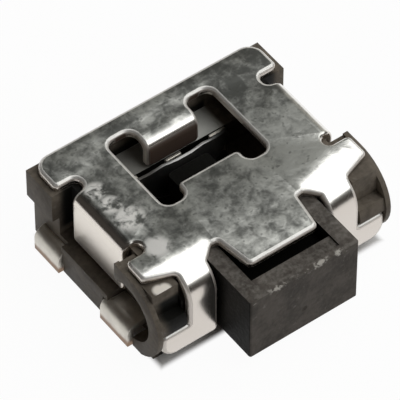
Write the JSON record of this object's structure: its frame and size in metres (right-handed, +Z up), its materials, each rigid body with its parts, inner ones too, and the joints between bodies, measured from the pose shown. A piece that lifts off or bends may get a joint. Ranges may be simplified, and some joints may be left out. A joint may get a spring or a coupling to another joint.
{
  "type": "tactile push button switch",
  "caption": "Miniature side-push tactile switch: moulded housing under a folded sheet cover with a window and a tongue, sliding button, snap dome and solder terminals at its sides.",
  "frame": {"origin": "middle of the bounding box at its base, on the board plane under the solder terminals", "axes": "+X across the switch, +Y from the button to the rear face, +Z up from the board"},
  "size_m": [0.0036, 0.0032, 0.0013],
  "materials": {
    "housing_resin": "moulded charcoal black resin, faint sheen",
    "button_resin": "moulded dark warm grey resin",
    "cover_sheet": "mottled satin sheet with bright sheared edges",
    "dome_sheet": "smooth spring sheet",
    "contact_plating": "silver plated strip with bare lower edges"
  },
  "bodies": {
    "switch_body": {"housing": "housing_resin", "cover": "cover_sheet", "snap_dome": "dome_sheet", "common_contact": "contact_plating", "signal_contact": "contact_plating"},
    "push_button": {"button": "button_resin"}
  },
  "joints": [
    {"name": "button_press", "type": "slide", "parent": "switch_body", "child": "push_button", "axis": [0, 1, 0], "range_m": [0, 0.0002], "stiffness_N_per_m": 8000, "deforming": ["snap_dome"]}
  ]
}
